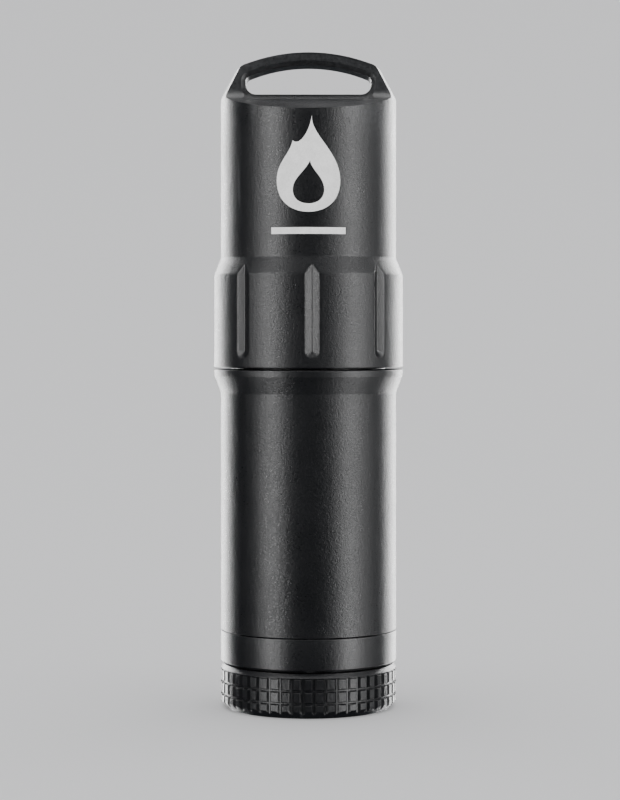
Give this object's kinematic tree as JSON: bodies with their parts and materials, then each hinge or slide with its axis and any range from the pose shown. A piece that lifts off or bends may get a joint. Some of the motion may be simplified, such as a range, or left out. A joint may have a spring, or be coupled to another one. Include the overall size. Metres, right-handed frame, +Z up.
{
  "type": "keychain lighter",
  "caption": "Slim capsule lighter: screw cap with a loop and fluted collar over a spark wheel and wick, plain barrel tank, and a knurled filler plug at the foot.",
  "frame": {"origin": "centre of the flat base, on the capsule's axis", "axes": "+Z up along the capsule's axis to the loop; +X to the right in the front view, along the width of the loop's opening; the front looks along +Y"},
  "size_m": [0.0236, 0.0236, 0.0813],
  "materials": {
    "cap_anodised": "matte black anodised, bead blasted",
    "body_anodised": "matte black anodised, bead blasted",
    "ring_anodised": "satin black anodised",
    "plug_anodised": "matte black anodised, knurled",
    "seal_rubber": "black nitrile",
    "head_aluminium": "machined, clear anodised",
    "wheel_steel": "hardened toothed steel",
    "axle_steel": "bright steel rivet",
    "spring_steel": "drawn wire",
    "brass": "turned brass",
    "flint": "dull ferrocerium rod",
    "wick_cotton": "braided cotton",
    "wadding": "cotton wool",
    "felt": "pressed felt"
  },
  "bodies": {
    "barrel": {"body": "body_anodised", "neck_oring": "seal_rubber", "base_ring": "ring_anodised", "lighter_head": "head_aluminium", "head_oring": "seal_rubber", "wheel_axle": "axle_steel", "flint_tube": "brass", "wick_sleeve": "brass", "wick": "wick_cotton", "wadding_upper": "wadding", "wadding_middle": "wadding", "wadding_lower": "wadding", "felt_pad": "felt"},
    "cap_rise_body": {"cap_gasket": "seal_rubber"},
    "cap_body": {"cap": "cap_anodised"},
    "wheel_body": {"spark_wheel": "wheel_steel"},
    "flint_body": {"flint": "flint", "flint_pusher": "brass"},
    "spring_body": {"flint_spring": "spring_steel"},
    "flint_screw_body": {"flint_screw": "brass"},
    "plug_travel_body": {"plug_oring": "seal_rubber"},
    "plug_body": {"fuel_plug": "plug_anodised"}
  },
  "joints": [
    {"name": "cap_rise", "type": "slide", "parent": "barrel", "child": "cap_rise_body", "axis": [0, 0, 1], "range_m": [0, 0.03]},
    {"name": "cap_turn", "type": "hinge", "parent": "cap_rise_body", "child": "cap_body", "pos_m": [0, 0, 0.048], "axis": [0, 0, 1], "range_deg": [0, 1800]},
    {"name": "wheel_spin", "type": "hinge", "parent": "barrel", "child": "wheel_body", "pos_m": [-0.0024, 0, 0.0594], "axis": [0, -1, 0], "continuous": true},
    {"name": "flint_press", "type": "slide", "parent": "barrel", "child": "flint_body", "axis": [0, 0, -1], "range_m": [0, 0.002], "stiffness_N_per_m": 250, "springref_m": -0.004, "deforming": ["flint_spring"]},
    {"name": "flint_screw_travel", "type": "slide", "parent": "barrel", "child": "spring_body", "axis": [0, 0, -1], "range_m": [0, 0.005]},
    {"name": "flint_screw_turn", "type": "hinge", "parent": "spring_body", "child": "flint_screw_body", "pos_m": [-0.0024, 0, 0.0129], "axis": [0, 0, -1], "range_deg": [0, 3600]},
    {"name": "plug_travel", "type": "slide", "parent": "barrel", "child": "plug_travel_body", "axis": [0, 0, -1], "range_m": [0, 0.0075]},
    {"name": "plug_turn", "type": "hinge", "parent": "plug_travel_body", "child": "plug_body", "pos_m": [0, 0, 0.003], "axis": [0, 0, -1], "range_deg": [0, 2160]}
  ],
  "couplings": [
    {"joint": "cap_turn", "follows": "cap_rise", "rad_per_m": 1047.2},
    {"joint": "plug_turn", "follows": "plug_travel", "rad_per_m": 5026.5},
    {"joint": "flint_screw_turn", "follows": "flint_screw_travel", "rad_per_m": 12566}
  ]
}
